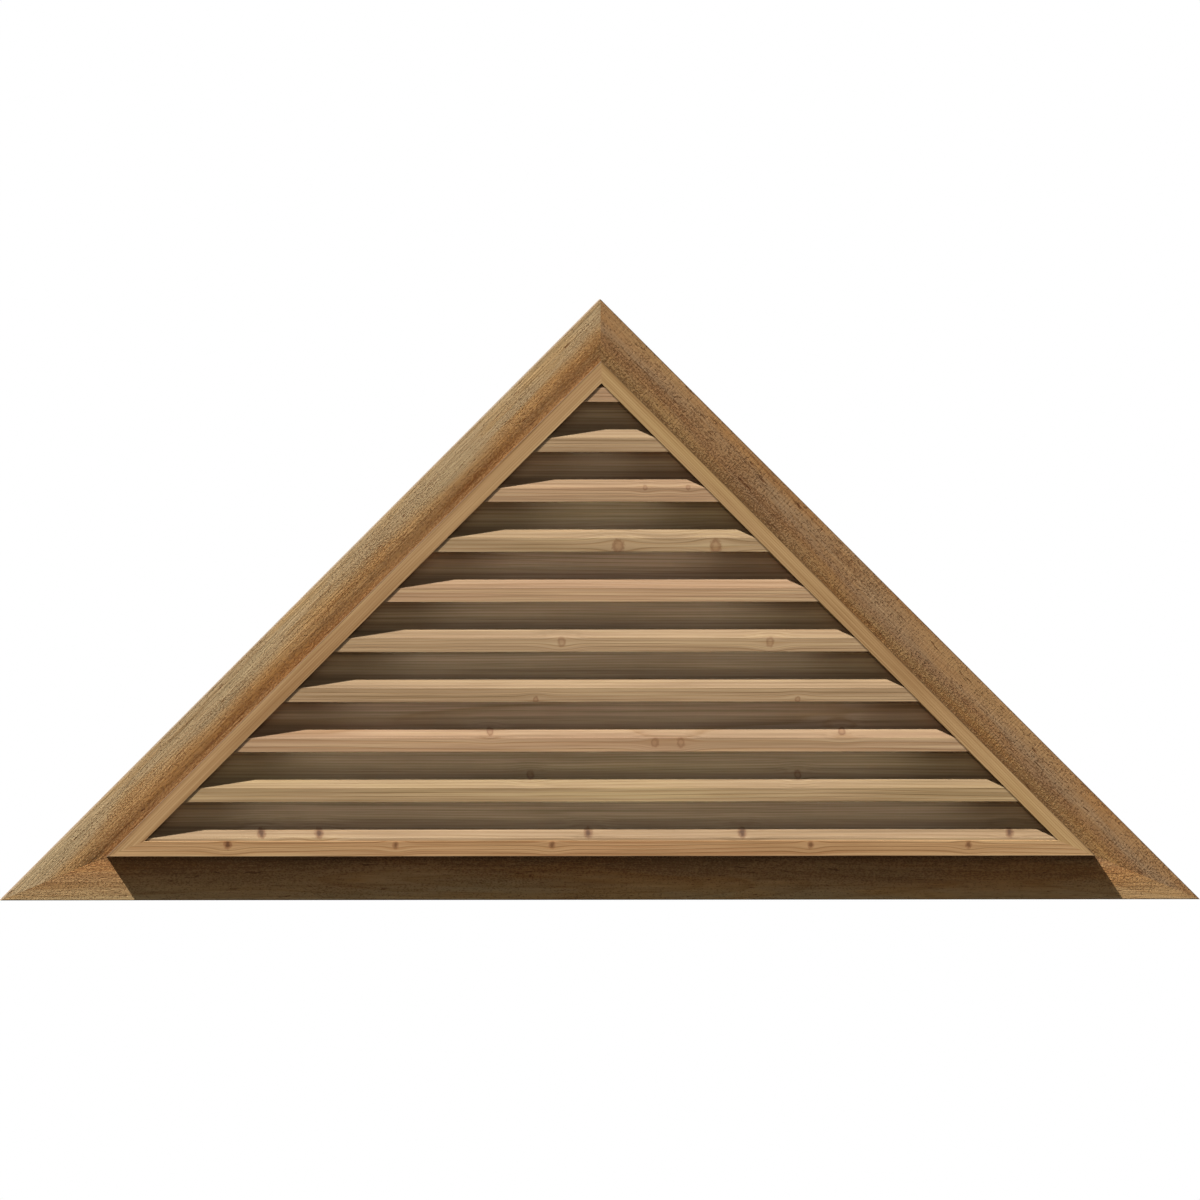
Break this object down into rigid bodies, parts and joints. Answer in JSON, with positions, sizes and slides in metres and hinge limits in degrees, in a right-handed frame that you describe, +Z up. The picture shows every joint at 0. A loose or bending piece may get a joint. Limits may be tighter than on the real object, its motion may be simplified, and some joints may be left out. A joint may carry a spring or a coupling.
{
  "type": "gable vent",
  "caption": "Triangular wooden gable vent: sloping louvers in a mitred box, a moulded trim round it that lies on the wall, and an insect screen across the back.",
  "frame": {"origin": "middle of the bottom trim's back face, in the wall plane", "axes": "+Z up, +Y into the wall, so that the louvers face -Y, and X across the vent"},
  "size_m": [1.48, 0.0907, 0.74],
  "materials": {
    "trim_cedar": "rough-sawn cedar",
    "frame_cedar": "smooth planed cedar",
    "louver_cedar": "smooth planed cedar",
    "screen_cloth": "charcoal insect screen",
    "fastener_steel": "galvanised wire"
  },
  "bodies": {
    "root": {"frame_left_rake": "frame_cedar", "frame_right_rake": "frame_cedar", "frame_bottom": "frame_cedar", "trim_left_rake": "trim_cedar", "trim_right_rake": "trim_cedar", "trim_bottom": "trim_cedar", "louver_01": "louver_cedar", "louver_02": "louver_cedar", "louver_03": "louver_cedar", "louver_04": "louver_cedar", "louver_05": "louver_cedar", "louver_06": "louver_cedar", "louver_07": "louver_cedar", "louver_08": "louver_cedar", "louver_09": "louver_cedar", "louver_10": "louver_cedar", "insect_screen": "screen_cloth", "screen_staples": "fastener_steel", "louver_brads_left": "fastener_steel", "louver_brads_right": "fastener_steel", "corner_brads": "fastener_steel", "trim_brads": "fastener_steel", "trim_mitre_nails": "fastener_steel"}
  },
  "joints": []
}
